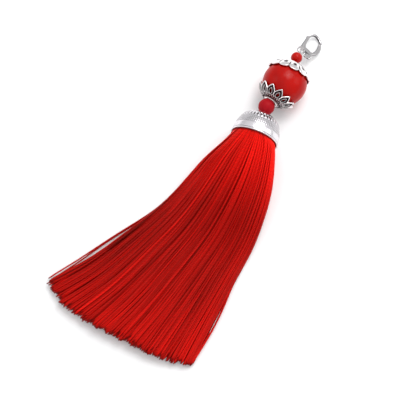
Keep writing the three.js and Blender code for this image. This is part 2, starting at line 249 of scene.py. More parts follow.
def tube_faces(count, rows, sides, flip=False):
    """Quads and triangles of closed tubes. The rings are stored tube by tube, and after all of
    them come the two points that close each tube; flip turns the faces over."""
    first = (np.arange(count) * rows * sides)[:, None]
    last = first + (rows - 1) * sides
    pole = count * rows * sides + 2 * np.arange(count)[:, None]
    corner = np.arange(sides)
    following = (corner + 1) % sides
    quads = (grid_quads(rows, sides, wrap_rows=False) + first[..., None]).reshape(-1, 4)
    triangles = np.concatenate([
        np.stack(np.broadcast_arrays(*fan), -1).reshape(-1, 3)
        for fan in ((first + following, first + corner, pole),
                    (last + corner, last + following, pole + 1))])
    return (quads[:, ::-1], triangles[:, ::-1]) if flip else (quads, triangles)


def fill_mesh(mesh, points, quads, triangles):
    """Puts whole arrays of points, quads and triangles into an empty mesh."""
    corners = np.concatenate([quads.ravel(), triangles.ravel()]).astype(np.int32)
    sizes = np.concatenate([np.full(len(quads), 4), np.full(len(triangles), 3)])
    starts = np.concatenate([[0], np.cumsum(sizes)[:-1]]).astype(np.int32)
    mesh.vertices.add(len(points))
    mesh.vertices.foreach_set("co", points.astype(np.float32).ravel())
    mesh.loops.add(len(corners))
    mesh.loops.foreach_set("vertex_index", corners)
    mesh.polygons.add(len(sizes))
    mesh.polygons.foreach_set("loop_start", starts)
    mesh.update(calc_edges=True)


def add_piece(name, points, quads, material, stands_for, body="charm", triangles=None,
              uv=None, values=None):
    if triangles is None:
        triangles = np.zeros((0, 3), int)
    mesh = bpy.data.meshes.new(name)
    placed = points * MM + ORIGIN
    placed[:, 2] = np.maximum(placed[:, 2], 0.0)
    fill_mesh(mesh, placed, quads, triangles)
    if uv is not None:
        loops = np.empty(len(mesh.loops), np.int32)
        mesh.loops.foreach_get("vertex_index", loops)
        layer = mesh.uv_layers.new(name="UVMap")
        layer.data.foreach_set("uv", uv.astype(np.float32)[loops].ravel())
    for label, numbers in (values or {}).items():
        attribute = mesh.attributes.new(label, "FLOAT", "POINT")
        attribute.data.foreach_set("value", numbers.astype(np.float32))
    mesh.polygons.foreach_set("use_smooth", np.ones(len(mesh.polygons), bool))
    mesh.materials.append(material)
    mesh.validate()
    piece = bpy.data.objects.new(name, mesh)
    bpy.context.scene.collection.objects.link(piece)
    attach(piece, body)
    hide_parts(stands_for)


class Shell:
    """Collects rings and closed tubes of points, and makes one piece of them."""

    def __init__(self):
        self.points = []
        self.quads = []
        self.triangles = [np.zeros((0, 3), int)]
        self.values = []
        self.count = 0

    def add_points(self, points, values):
        self.points.append(points)
        self.values.append(values)
        self.count += len(points)

    def add_ring(self, grid, value=1.0, flip=False):
        """Adds a grid that closes on itself both ways; flip turns its faces over."""
        quads = grid_quads(*grid.shape[:2]) + self.count
        self.quads.append(quads[:, ::-1] if flip else quads)
        self.add_points(grid.reshape(-1, 3), np.broadcast_to(value, grid.shape[:2]).ravel())

    def add_tube(self, rings, ends, value=1.0, flip=False):
        """Adds rings of points round a path, closed by the two points at its ends."""
        quads, triangles = tube_faces(1, *rings.shape[:2], flip)
        self.quads.append(quads + self.count)
        self.triangles.append(triangles + self.count)
        values = np.broadcast_to(value, rings.shape[:2]).ravel()
        self.add_points(np.concatenate([rings.reshape(-1, 3), ends]),
                        np.concatenate([values, np.ones(2)]))

    def make(self, name, material, slot, stands_for, place=np.asarray, body="charm"):
        """Adds the piece, with its points put in their place and its values as relief, the
        brightness that the silver material paints as patina and painted shade.
        """
        add_piece(name, place(np.concatenate(self.points)), np.concatenate(self.quads), material,
                  stands_for, body, np.concatenate(self.triangles),
                  values={"relief": np.concatenate(self.values)})


def rings_round(path, side, rise, radius, sides):
    """Rings round a path: point + radius (side cos a + rise sin a), with one radius for all
    of its points or one for each."""
    angle = round_angles(sides)[:, None]
    return path[..., None, :] + np.asarray(radius)[..., None, None] * (
        side[..., None, :] * np.cos(angle) + rise[..., None, :] * np.sin(angle))


def turned(radius, height, angle):
    """Points at a radius from the +Y axis, a height along it and an angle round it from +Z."""
    radius, height, angle = np.broadcast_arrays(radius, height, angle)
    return np.stack([radius * np.sin(angle), height, radius * np.cos(angle)], -1)


def torus(radius, across, along, rows, columns):
    """A ring about +Y: its section reaches across cos b from the radius and along sin b."""
    section = round_angles(columns)
    return turned(radius + across * np.cos(section), along * np.sin(section),
                  round_angles(rows)[:, None])


# ---- shader nodes ----

def fill_inputs(tree, node, inputs):
    """Gives each named input of a node its value, or the link that feeds it."""
    for key, value in inputs.items():
        if isinstance(value, bpy.types.NodeSocket):
            tree.links.new(value, node.inputs[key])
        else:
            node.inputs[key].default_value = value


def add_node(tree, kind, inputs=None, **settings):
    """Adds a node, sets its fields and then fills its inputs."""
    node = tree.nodes.new(kind)
    for key, value in settings.items():
        setattr(node, key, value)
    fill_inputs(tree, node, inputs or {})
    return node


def math_node(tree, operation, first, second=0.0, third=0.0):
    node = add_node(tree, "ShaderNodeMath", {0: first, 1: second, 2: third}, operation=operation)
    return node.outputs[0]


def mix_colours(tree, factor, first, second):
    node = add_node(tree, "ShaderNodeMix", {0: factor, 6: first, 7: second}, data_type="RGBA")
    return node.outputs[2]


def map_range(tree, value, low, high, new_low, new_high):
    node = add_node(tree, "ShaderNodeMapRange",
                    {0: value, 1: low, 2: high, 3: new_low, 4: new_high})
    return node.outputs[0]


def noise_node(tree, scale, **inputs):
    """Noise over the piece's own space."""
    place = add_node(tree, "ShaderNodeTexCoord").outputs["Object"]
    return add_node(tree, "ShaderNodeTexNoise",
                    {"Vector": place, "Scale": scale, **inputs}).outputs[0]


def new_group(name, inputs, outputs):
    """A shader node group with named sockets; returns its tree, its inputs and its end node."""
    tree = bpy.data.node_groups.new(name, "ShaderNodeTree")
    for label, kind, default in inputs:
        socket = tree.interface.new_socket(label, in_out="INPUT", socket_type=kind)
        socket.default_value = default
    for label, kind in outputs:
        tree.interface.new_socket(label, in_out="OUTPUT", socket_type=kind)
    return tree, tree.nodes.new("NodeGroupInput").outputs, tree.nodes.new("NodeGroupOutput")


def place_group(tree, group, inputs):
    """Places a node group in a material with its own values; returns its outputs."""
    return add_node(tree, "ShaderNodeGroup", inputs, node_tree=group).outputs


def new_material(name):
    """A material with its node tree and its Principled shader."""
    material = bpy.data.materials.new(name)
    material.use_nodes = True
    return material, material.node_tree, material.node_tree.nodes["Principled BSDF"]


def surface_grain_group():
    """Fine unevenness of a cast or turned surface: a mask, and a normal bumped by it."""
    if "surface_grain" in bpy.data.node_groups:
        return bpy.data.node_groups["surface_grain"]
    tree, given, end = new_group(
        "surface_grain",
        [("Scale", "NodeSocketFloat", 800.0), ("Depth", "NodeSocketFloat", 0.02)],
        [("Mask", "NodeSocketFloat"), ("Normal", "NodeSocketVector")],
    )
    noise = noise_node(tree, given["Scale"], Detail=4.0, Roughness=0.6)
    bump = add_node(tree, "ShaderNodeBump", {
        "Strength": 1.0, "Distance": given["Depth"], "Height": noise})
    fill_inputs(tree, end, {"Mask": noise, "Normal": bump.outputs[0]})
    return tree


def silk_material(name, settings):
    """Twisted silk cord: two plies as helical bump with painted shade in the grooves between
    them, a tone cord by cord that is mostly painted light, and a soft long shine.
    """
    material, tree, shader = new_material(name)
    tone_and_painted_light = add_node(tree, "ShaderNodeAttribute", attribute_name="tone_and_painted_light").outputs["Fac"]
    uv = add_node(tree, "ShaderNodeUVMap", uv_map="UVMap").outputs[0]
    parts = add_node(tree, "ShaderNodeSeparateXYZ", {0: uv})
    turns = math_node(tree, "MULTIPLY", parts.outputs[1], 2 * np.pi / TWIST_PITCH)
    phase = math_node(tree, "MULTIPLY_ADD", parts.outputs[0], 2 * np.pi * SILK_PLIES, turns)
    twist = math_node(tree, "MULTIPLY_ADD", math_node(tree, "SINE", phase), 0.5, 0.5)
    floss = noise_node(tree, 900.0, Detail=3.0)
    colour = mix_colours(tree, tone_and_painted_light, settings.silk_painted_shade, settings.silk_colour)
    # Painted shade in the grooves between the two plies.
    colour = mix_colours(tree, map_range(tree, twist, 0.0, 0.6, 0.35, 0.0), colour,
                         settings.silk_painted_shade)
    height = math_node(tree, "MULTIPLY_ADD", floss, 0.25, twist)
    bump = add_node(tree, "ShaderNodeBump", {
        "Strength": 0.6, "Distance": 0.06 * MM, "Height": height})
    fill_inputs(tree, shader, {
        "Base Color": colour,
        "Roughness": map_range(tree, twist, 0.0, 1.0, 0.5, 0.36),
        "Normal": bump.outputs[0],
        "Sheen Weight": 0.15,
        "Sheen Roughness": 0.4,
        "Sheen Tint": (1.0, 0.10, 0.05, 1.0),
        "Specular IOR Level": 0.26,
        "Specular Tint": (1.0, 0.35, 0.25, 1.0),
    })
    return material


def silver_material(name, colour, patina_and_painted_shade, roughness, depth):
    """Plated cast metal: bright where it is raised, dark where the relief value is low. That is
    patina in the hollows of the blackened lotus cap, and painted shade on the other pieces and
    under the petals.
    """
    material, tree, shader = new_material(name)
    # The relief attribute sets the brightness: patina in the lotus cap's hollows, painted shade
    # elsewhere.
    relief = add_node(tree, "ShaderNodeAttribute", attribute_name="relief").outputs["Fac"]
    grain = place_group(tree, surface_grain_group(), {"Scale": 900.0, "Depth": depth * MM})
    grain_patina_and_shade = math_node(tree, "MULTIPLY_ADD", grain["Mask"], 0.3, relief)
    bright = map_range(tree, grain_patina_and_shade, 0.40, 1.05, 0.0, 1.0)
    fill_inputs(tree, shader, {
        "Base Color": mix_colours(tree, bright, patina_and_painted_shade, colour),
        "Roughness": map_range(tree, bright, 0.0, 1.0, 0.55, roughness),
        "Normal": grain["Normal"],
        "Metallic": 1.0,
    })
    return material


def bead_material(name, colour, vein, roughness, coat, depth):
    """Dyed bead: faint clouds of deeper colour under a polished or satin skin."""
    material, tree, shader = new_material(name)
    clouds = noise_node(tree, 160.0, Detail=3.0, Distortion=0.4)
    grain = place_group(tree, surface_grain_group(), {"Scale": 1400.0, "Depth": depth * MM})
    amount = map_range(tree, clouds, 0.35, 0.7, 0.0, 0.6)
    fill_inputs(tree, shader, {
        "Base Color": mix_colours(tree, amount, colour, vein),
        "Roughness": map_range(tree, grain["Mask"], 0.2, 0.8, roughness * 0.85,
                               roughness * 1.15),
        "Normal": grain["Normal"],
        "Specular IOR Level": 0.06,
        "Coat Weight": coat,
        "Coat Roughness": 0.14,
    })
    return material


def material_once(build, name, *given, **named):
    """The material of that name, built with the values given if it isn't there yet."""
    return bpy.data.materials.get(name) or build(name, *given, **named)


# ---- fringe ----

def edge_curves(along):
    """The fringe's edges at a share of their length, as left x, left y, right x, right y."""
    table = spline(FAN_SECTIONS, EDGE_SPANS + 1)
    place = np.clip(along, 0.0, 1.0) * EDGE_SPANS
    cell = np.minimum(place.astype(int), EDGE_SPANS - 1)
    part = (place - cell)[..., None]
    return table[cell] * (1 - part) + table[cell + 1] * part


def fringe_points(across, up, along):
    """Points of the fringe. Across runs from -1 at its left edge to 1 at its right, up from -1
    at its underside to 1 at its top, along from 0 at the cap's mouth to 1 at the cut edge. The
    section is a disc at the mouth, mapped from the square of across and up. In plan it opens
    fast and then slowly to the width between the edge curves, and its middle bulges past its
    corners. In height it settles to a low mound, soonest at its top left."""
    disc_x = ROOT_RADIUS * across * np.sqrt(1 - up ** 2 / 2)
    disc_z = CAP_AXIS_Z + ROOT_RADIUS * up * np.sqrt(1 - across ** 2 / 2)
    edges = edge_curves(along)
    side = (across + 1) / 2
    fan_x = edges[..., 0] * (1 - side) + edges[..., 2] * side
    fan_y = edges[..., 1] * (1 - side) + edges[..., 3] * side
    bulge = BULGE * (1 - across ** 4) * (1 - BULGE_SKEW * across)
    fan_y = fan_y - bulge * np.maximum(along, 0.0) - FRINGE_LENGTH * np.minimum(along, 0.0)
    thin = 1 - EDGE_THINNING * across ** 2
    mound_z = END_HEIGHT * thin * (up + OUTER_FACE) / (2 * OUTER_FACE)
    opening = np.clip(along / (OPENED_AT - OPENED_SKEW * across), 0.0, 1.0)
    spread = opening * (2.0 - opening)
    corner = np.clip(up, 0.0, 1.0) * np.clip(-across, 0.0, 1.0) ** 2
    settled = smoothstep(along, -0.02, FLATTENED_AT - CORNER_SOONER * corner)
    return np.stack([disc_x + (fan_x - disc_x) * spread, fan_y,
                     disc_z + (mound_z - disc_z) * settled], -1)


def disc_to_square(x, z):
    """The square of across and up that the elliptical map folds onto the unit disc."""
    sides = []
    for own, other in ((x, z), (z, x)):
        middle, step = 2.0 + own ** 2 - other ** 2, 2.0 * np.sqrt(2.0) * own
        far, near = np.sqrt(np.maximum([middle + step, middle - step], 0.0))
        sides.append(np.clip(0.5 * (far - near), -1, 1))
    return sides


class FringeSettings(bpy.types.PropertyGroup):
    pitch: length_setting("Pitch", "Distance between cords round the cap's mouth", 0.50)
    layer: length_setting("Layer", "Distance between rings of cords at the cap's mouth", 0.46)
    cord_width: length_setting("Cord width", "Diameter of one cord", 0.54)
    raggedness: length_setting("Raggedness", "Spread of the cut ends", 2.8)
    silk_colour: colour_setting(
        "Silk colour", "Colour of the silk where it is lightest", 1.0, 0.008, 0.005)
    # Painted shade: the colour the cords are given between them and in their twist's grooves.
    silk_painted_shade: colour_setting(
        "Silk shade", "Colour of the silk between its cords", 0.13, 0.0, 0.0006)


def cord_roots(rng, settings):
    """Across and up of every cord, one row each: rings of cords over the disc at the cap's
    mouth, set half a step on in every second ring and a little uneven."""
    ring_reach = np.arange(0.985, 0.02, -settings.layer / MM / ROOT_RADIUS)
    in_ring = np.round(2 * np.pi * ring_reach * ROOT_RADIUS / settings.pitch * MM)
    in_ring = np.maximum(in_ring, 1).astype(int)
    ring = np.repeat(np.arange(len(ring_reach)), in_ring)
    start = np.repeat(np.cumsum(in_ring) - in_ring, in_ring)
    count = len(ring)
    turn = 2 * np.pi * (np.arange(count) - start + 0.5 * (ring % 2)) / in_ring[ring]
    turn = turn + rng.normal(0, 0.012, count)
    reach = ring_reach[ring] + rng.normal(0, 0.006, count)
    across, up = disc_to_square(reach * np.sin(turn), reach * np.cos(turn))
    return across[:, None], up[:, None]


def cord_ends(rng, across, up, raggedness):
    """Where each cord is cut: at random within the raggedness, in tufts over the width, and
    shorter towards the underside."""
    short = rng.beta(1.4, 2.4, across.shape) * raggedness / FRINGE_LENGTH * 1.4
    tufts = np.sin(across * 37.0 + 1.0) + np.sin(across * 83.0 + up * 5.0)
    return 1.0 - short - (1 - up) * 0.5 * UNDERCUT - TUFT_DEPTH * tufts


def cord_paths(rng, across, up, along):
    """The middle lines of the cords: the fringe's own lines with a slow wander that sets in
    past the cap, and a bow outwards in the few cords that leave an edge."""
    phase = rng.uniform(0, 2 * np.pi, (4, len(across), 1))
    wander = wave(along, 1.1, phase[0]) + 0.6 * wave(along, 2.3, phase[1])
    lift = wave(along, 1.4, phase[2]) + 0.5 * wave(along, 3.1, phase[3])
    free = smoothstep(along, 0.0, 0.5)
    path = fringe_points(np.clip(across + 0.007 * wander * free, -1.0, 1.0),
                         np.clip(up + 0.04 * lift * free, -1.0, 1.0), along)
    for edge, beyond, height, spread, stand_off, start, end in STRAYS:
        chosen = (edge * across > beyond) & (np.abs(up - height) < spread)
        path[..., 0] += edge * stand_off * chosen * np.sin(np.pi * smoothstep(along, start, end))
    return path


def cord_tone_and_painted_light(rng, across, up, along, ends):
    """How light each cord is along its length, mostly painted light: lightest by the cap, except
    on the left, a little lighter on the right, paler again at the cut edge, painted shade at its
    two ends, and with some depth of colour of its own."""
    streak = np.sin(across * 23.0 + 0.7) + np.sin(across * 51.0 + up * 4.0)
    # Apart from random tone, 0.05 * across makes the right side lighter, as painted light.
    own = 0.04 * streak + rng.normal(0, 0.11, across.shape) + 0.05 * across
    # Painted light: lightest by the cap, paler again at the cut edge, less on the left by the cap.
    painted_light_along = 1.0 - 0.66 * smoothstep(along, 0.02, 0.38) + 0.20 * smoothstep(along, 0.6, 1.0)
    painted_light_along = painted_light_along - 0.22 * smoothstep(-across, -0.4, 0.8) * smoothstep(along, 0.30, 0.0)
    # Painted shade at the cut ends.
    cut = 1.0 - 0.95 * smoothstep(along / ends, 0.978, 1.0)
    # Painted shadow where the cords go into the cap's mouth.
    painted_mouth_shadow = 0.2 + 0.8 * smoothstep(along, 0.002, 0.016)
    return np.clip((painted_light_along + own) * cut * painted_mouth_shadow, 0.0, 1.0)


def build_fringe(settings):
    """Thin cords from the cap's mouth to their own cut ends, with the stations of each closer
    together near its ends, shared out from left to right among the pieces."""
    rng = np.random.default_rng(SEED)
    across, up = cord_roots(rng, settings)
    ends = cord_ends(rng, across, up, settings.raggedness / MM)
    share = 1.0 - (1.0 - np.linspace(0.0, 1.0, CORD_STATIONS) ** 1.3) ** 1.25
    along = ROOT_AT + (ends - ROOT_AT) * share
    radius = settings.cord_width / MM / 2
    path = cord_paths(rng, across, up, along)
    path[..., 2] = np.maximum(path[..., 2], radius)
    tone_and_painted_light = cord_tone_and_painted_light(rng, across, up, along, ends)
    tangent = unit(np.gradient(path, axis=1))
    side = unit(np.cross(tangent, [0.0, 0.0, 1.0]))
    radii = np.full(CORD_STATIONS, radius)
    radii[-1] *= 0.7
    rings = rings_round(path, side, np.cross(side, tangent), radii, CORD_SIDES)
    steps = np.linalg.norm(np.diff(path, axis=1), axis=2)
    length = np.pad(np.cumsum(steps, 1), ((0, 0), (1, 0)))
    uv = np.stack(np.broadcast_arrays(
        np.arange(CORD_SIDES) / CORD_SIDES, length[..., None]), -1)
    material = material_once(silk_material, "silk_cord", settings)
    from_left = np.argsort(across[:, 0])
    for number, members in enumerate(np.array_split(from_left, FRINGE_PIECES)):
        count = len(members)
        quads, triangles = tube_faces(count, CORD_STATIONS, CORD_SIDES, flip=True)
        tones_and_painted_light = tone_and_painted_light[members]
        add_piece(
            f"fringe_cords_{number + 1}",
            np.concatenate([rings[members].reshape(-1, 3),
                            path[members][:, [0, -1]].reshape(-1, 3)]),
            quads, material, "tassel_fringe", triangles=triangles,
            uv=np.concatenate([uv[members].reshape(-1, 2), np.zeros((2 * count, 2))]),
            values={"tone_and_painted_light": np.concatenate([np.repeat(tones_and_painted_light.ravel(), CORD_SIDES),
                                            tones_and_painted_light[:, [0, -1]].ravel()])})


# ---- tassel cap ----

class CapSettings(bpy.types.PropertyGroup):
    slots: IntProperty(
        name="Slots", description="Number of slots round the cap's shoulder", default=36, min=8)
    silver: colour_setting("Silver", "Colour of the plating", 0.80, 0.77, 0.80)
    # Painted shade in the dome's lines, hatching and slots, and on its inside.
    patina_and_painted_shade: colour_setting(
        "Tarnish", "Colour of the deep parts of the relief", 0.035, 0.03, 0.03)


def cap_profile(share, inset):
    """Radius and height of the dome: a quarter of a superellipse, from its mouth at share 0 to
    the hole round the pin at share 1."""
    radius, height = CAP_RADIUS - inset, CAP_HEIGHT - inset
    power = 2.0 / CAP_FULLNESS
    last = np.arccos((CAP_HOLE / radius) ** (1.0 / power))
    angle = share * last
    return radius * np.cos(angle) ** power, height * np.sin(angle) ** power


def dome_relief(height, angle, slots):
    """Relief and brightness of the dome: a rolled rim and a line over it, a smooth band up to
    another line, hatching of flutes and rows, and a raised shoulder with a ring of slots. The two
    lines, the hatching and the slots are given painted shade."""
    rim = smoothstep(height, CAP_RIM_TOP, CAP_RIM_TOP - 0.15)
    rim_line, band_line = line(height, CAP_RIM_LINE, 0.10), line(height, CAP_BAND_LINE, 0.10)
    hatched = (smoothstep(height, CAP_BAND_LINE, CAP_BAND_LINE + 0.3)
               * smoothstep(height, CAP_HATCH_TOP, CAP_HATCH_TOP - 0.25))
    rows = 0.8 * swell(2 * np.pi * height / HATCH_ROW)
    hatch = hatched * np.maximum(swell(angle * slots * 2), rows)
    shoulder = between(height, *CAP_SHOULDER, 0.2)
    slot = between(height, *CAP_SLOTS, 0.2) * smoothstep(np.cos(angle * slots), 0.0, 0.35)
    relief = (0.16 * rim - 0.10 * rim_line - 0.08 * band_line - 0.06 * hatch
              + 0.10 * shoulder - 0.42 * slot)
    # The brightness puts painted shade in the lines, the hatching and the slots.
    return relief, 1.0 - 0.75 * rim_line - 0.4 * band_line - 0.50 * hatch - 0.95 * slot


def build_cap(settings):
    """A turned dome: its outside is the superellipse moved along its normal by the relief, and
    its inside a smaller superellipse."""
    rows, inner_rows, columns = 110, 14, 720
    angle = round_angles(columns)
    radius, height = cap_profile(np.linspace(0.0, 1.0, rows)[:, None] ** 0.9, 0.0)
    relief, bright = dome_relief(height, angle, settings.slots)
    step_r, step_h = np.gradient(radius, axis=0), np.gradient(height, axis=0)
    step = np.hypot(step_r, step_h)
    outer = turned(radius + relief * step_h / step, height - relief * step_r / step, angle)
    inner = turned(*cap_profile(np.linspace(1.0, 0.0, inner_rows)[:, None], CAP_WALL), angle)
    grid = np.concatenate([outer, inner]) + [0.0, CAP_MOUTH_Y, CAP_AXIS_Z]
    shell = Shell()
    # The inside of the dome is set at 0.4, as painted shade.
    shell.add_ring(grid, np.concatenate([bright, np.full((inner_rows, columns), 0.4)]))
    material = material_once(silver_material, "plated_silver", settings.silver,
                             settings.patina_and_painted_shade, roughness=0.24, depth=0.02)
    shell.make("cap_dome", material, "bright_silver", "tassel_cap")


# ---- bead caps ----

PETALS = 12
CAP_POLE = 13.5
PETAL_UNDERSIDE = 0.3
PETAL_TOP = 0.75
PETAL_FLARE = 0.12
COLLAR = dict(radius=2.4, across=0.28, along=0.28, rows=72, columns=12)
COLLAR_AT = 8.62
# The petals' edge is between valley and tip, in degrees from the cap's pole; belly is how far
# they swell, and seat is the heading, dip and turn of the cap on the big bead.
POINTED = dict(valley=43.0, tip=56.5, sharpness=1.2, roundness=1.0, belly=0.38,
               seat=(195.5, 2.0, 13.6))
ROUNDED = dict(valley=57.0, tip=66.0, sharpness=2.6, roundness=0.6, belly=0.1,
               seat=(3.5, -5.0, 12.2))
# The window in each petal: its middle, its reach to the tip and to the pole in degrees, its
# half width as a share of the petal's, and the power of its superellipse.
POINTED_WINDOW = dict(middle=37.5, high=8.5, low=6.0, width=0.42, power=1.5)
ROUNDED_WINDOW = dict(middle=49.5, high=3.4, low=4.0, width=0.32, power=2.0)


def petal_edge(turn, petals):
    """Angle from the pole to the petals' edge; turn is -1 to 1 across one petal."""
    reach = (1 - np.abs(turn) ** petals["sharpness"]) ** petals["roundness"]
    return petals["valley"] + (petals["tip"] - petals["valley"]) * reach


def petal_outline(petals, samples):
    """The outline of one petal as turn and angle, from its left valley over its tip."""
    pole, valley = CAP_POLE, petals["valley"]
    side = np.linspace(0, 1, samples, endpoint=False)
    top = np.stack([-1 + 2 * side, petal_edge(-1 + 2 * side, petals)], -1)
    right = np.stack([np.ones(samples // 2), valley + (pole - valley) * side[::2]], -1)
    bottom = np.stack([1 - 2 * side, np.full(samples, pole)], -1)
    left = np.stack([-np.ones(samples // 2), pole + (valley - pole) * side[::2]], -1)
    return np.concatenate([top, right, bottom, left])


def petal_window(outline, window):
    """The window's rim on the rays from its middle to the outline: a superellipse with a
    height of its own on each side of the middle."""
    middle = np.array([0.0, window["middle"]])
    ray = outline - middle
    wide = ray[:, 0] / window["width"]
    tall = ray[:, 1] / np.where(ray[:, 1] > 0, window["high"], window["low"])
    power = window["power"]
    size = (np.abs(wide) ** power + np.abs(tall) ** power) ** (-1.0 / power)
    return middle + ray * size[:, None]


def lotus_relief(turn, polar, edge, rim):
    """Bright ridges along the edge and round the window, a row of curls where two petals meet,
    and rows of grains and sprays by the pole."""
    side = smoothstep(np.abs(turn), 0.84, 0.92) * smoothstep(polar, 33.0, 36.0)
    curl = np.hypot((np.abs(turn) - 1.0) * 2.6, (polar - 29.0) / 3.6)
    hollow = smoothstep(curl, 0.75, 0.35)
    grains = line(polar, 19.0, 2.0) * swell(turn * np.pi * 3)
    spray = line(polar, 25.0, 1.8) * swell(turn * np.pi * 2)
    raised = np.maximum.reduce([edge, 0.8 * side, 0.7 * rim, 0.9 * line(curl, 1.0, 0.42), grains,
                                0.8 * spray])
    return raised - 0.5 * hollow, raised - 0.5 * hollow


def scallop_relief(turn, polar, edge, rim):
    """Full round petals with a bright edge, a groove between each two and a rim round the window,
    both in painted shade."""
    groove = smoothstep(np.abs(turn), 0.80, 0.97) * smoothstep(polar, 40.0, 48.0)
    puff = np.sqrt(np.clip(1 - turn ** 2, 0, 1)) * smoothstep(polar, 44.0, 52.0)
    # Painted shade in the grooves and round the window.
    dark = np.maximum(0.9 * groove * smoothstep(polar, 60.0, 57.0), 0.6 * rim)
    bright = 0.9 * edge * smoothstep(polar, 50.0, 54.0)
    return 0.8 * puff - 0.4 * groove, np.maximum(1.0 - dark, bright)


def bead_cap_shell(petals, window, relief_height, pattern):
    """A petalled shell on the big bead. Each petal is a grid between its outline and its
    window, both loops round the petal's middle; the shell is the grid laid on two spheres."""
    samples, rows = 24, 15
    outline = petal_outline(petals, samples)
    part = np.linspace(0, 1, rows)[:, None, None]
    flat = petal_window(outline, window) * (1 - part) + outline * part
    turn, polar = flat[..., 0], flat[..., 1]
    to_edge = np.abs(polar - petal_edge(np.clip(turn, -1, 1), petals))
    rim = np.broadcast_to(smoothstep(part[..., 0], 0.22, 0.08), turn.shape)
    height, value = pattern(turn, polar, smoothstep(to_edge, 3.8, 1.6), rim)
    share = np.clip((polar - CAP_POLE) / (petals["tip"] - CAP_POLE), 0, 1)
    lift = PETAL_FLARE * share ** 3 + petals["belly"] * np.sin(np.pi * share)
    underside = BEAD_RADIUS + PETAL_UNDERSIDE + lift
    top = BEAD_RADIUS + PETAL_TOP + lift + relief_height * np.clip(height, -0.3, 1.0)
    radius = np.concatenate([top, underside[::-1]])
    angle = np.radians(np.concatenate([polar, polar[::-1]]))
    turn = np.concatenate([turn, turn[::-1]])
    # The petals' underside is painted near black, as shade, except the row along the petal's
    # outline.
    under_value = np.full(value.shape, 0.1)
    under_value[0] = 0.9
    value = np.concatenate([np.clip(value, 0, 1), under_value])
    shell = Shell()
    for number in range(PETALS):
        grid = turned(radius * np.sin(angle), radius * np.cos(angle),
                      2 * np.pi / PETALS * (number + turn / 2))
        shell.add_ring(grid, value, flip=True)
    return shell


class BeadCapSettings(bpy.types.PropertyGroup):
    relief: length_setting("Relief", "Height of the ridges round the petals", 0.28)
    silver: colour_setting("Silver", "Colour of the raised metal", 0.94, 0.90, 0.90)
    # Patina in the lotus cap's hollows; painted shade in the scallop cap's grooves, round its
    # windows and under both caps' petals.
    patina_and_painted_shade: colour_setting(
        "Tarnish", "Colour of the deep parts of the relief", 0.035, 0.018, 0.020)


def build_bead_caps(settings):
    """The lotus cap under the bead, with its collar, and the scalloped cap above it."""
    shades = settings.silver, settings.patina_and_painted_shade
    antique = material_once(silver_material, "blackened_silver", *shades, roughness=0.22,
                            depth=0.03)
    bright = material_once(silver_material, "scallop_silver", *shades, roughness=0.16, depth=0.02)
    relief = settings.relief / MM
    lower = bead_cap_shell(POINTED, POINTED_WINDOW, relief, lotus_relief)
    lower.add_ring(torus(**COLLAR) + [0.0, COLLAR_AT, 0.0], flip=True)
    upper = bead_cap_shell(ROUNDED, ROUNDED_WINDOW, relief * 0.8, scallop_relief)
    for name, node, shell, petals, material in (
        ("lotus_cap", "bead_cap_lower", lower, POINTED, antique),
        ("scallop_cap", "bead_cap_upper", upper, ROUNDED, bright),
    ):
        seat = string_frame(*petals["seat"]).T
        shell.make(name, material, "antique_silver", node, lambda points: points @ seat + BIG_BEAD)


# ---- beads ----

class BeadSettings(bpy.types.PropertyGroup):
    gloss_colour: colour_setting("Gloss colour", "Colour of the glossy beads", 0.46, 0.003, 0.0005)
    satin_colour: colour_setting("Satin colour", "Colour of the satin bead", 0.37, 0.007, 0.012)


SKINS = {
    "gloss_bead": dict(vein=(0.30, 0.001, 0.0005, 1.0), roughness=0.34, coat=0.20, depth=0.004),
    "satin_bead": dict(vein=(0.30, 0.004, 0.012, 1.0), roughness=0.42, coat=0.0, depth=0.02),
}
# Name, node, slot, radius, bore, place, and the way its bore points as heading and dip.
BEADS = (
    ("gloss_bead", "big_bead", "gloss_bead", BEAD_RADIUS, 1.2, BIG_BEAD, (9.5, 3.3)),
    ("satin_bead", "small_bead_lower", "satin_bead", 2.93, 0.85, LOWER_BEAD, (187.75, -3.5)),
    ("top_bead", "small_bead_upper", "gloss_bead", TOP_BEAD_RADIUS, 0.75, UPPER_BEAD, UPPER_END),
)


def turned_bead(radius, bore, rows=56, bore_rows=6, columns=96):
    """A sphere turned round its string, with softly broken edges where the bore enters."""
    first = np.arcsin(bore / radius)
    angle = np.linspace(first, np.pi - first, rows)
    softened = radius - 0.06 * (line(angle, first, 0.03) + line(angle, np.pi - first, 0.03))
    r, y = softened * np.sin(angle), softened * np.cos(angle)
    r = np.concatenate([r, np.full(bore_rows, bore * BORE_TAPER)])
    y = np.concatenate([y, np.linspace(y[-1] + 0.1, y[0] - 0.1, bore_rows)])
    return turned(r[:, None], y[:, None], round_angles(columns))


def build_beads(settings):
    """Each bead is a turned sphere at its place on the string."""
    colours = {"gloss_bead": settings.gloss_colour, "satin_bead": settings.satin_colour}
    for name, node, slot, radius, bore, place, bearing in BEADS:
        material = material_once(bead_material, f"{slot}_skin", colours[slot], **SKINS[slot])
        grid = turned_bead(radius, bore)
        points = grid.reshape(-1, 3) @ string_frame(*bearing).T + place
        add_piece(name, points, grid_quads(*grid.shape[:2])[:, ::-1], material, node)


# ---- eye pin ----

class PinSettings(bpy.types.PropertyGroup):
    wire: length_setting("Wire", "Diameter of the pin's wire", 2 * PIN_RADIUS)


def level_heading():
    """The heading of the string's upper end, as a level vector."""
    heading = np.radians(UPPER_END[0])
    return np.array([np.sin(heading), np.cos(heading), 0.0])


def loop_centre():
    centre = UPPER_BEAD + level_heading() * LOOP_REACH
    return np.array([centre[0], centre[1], LOOP_Z])


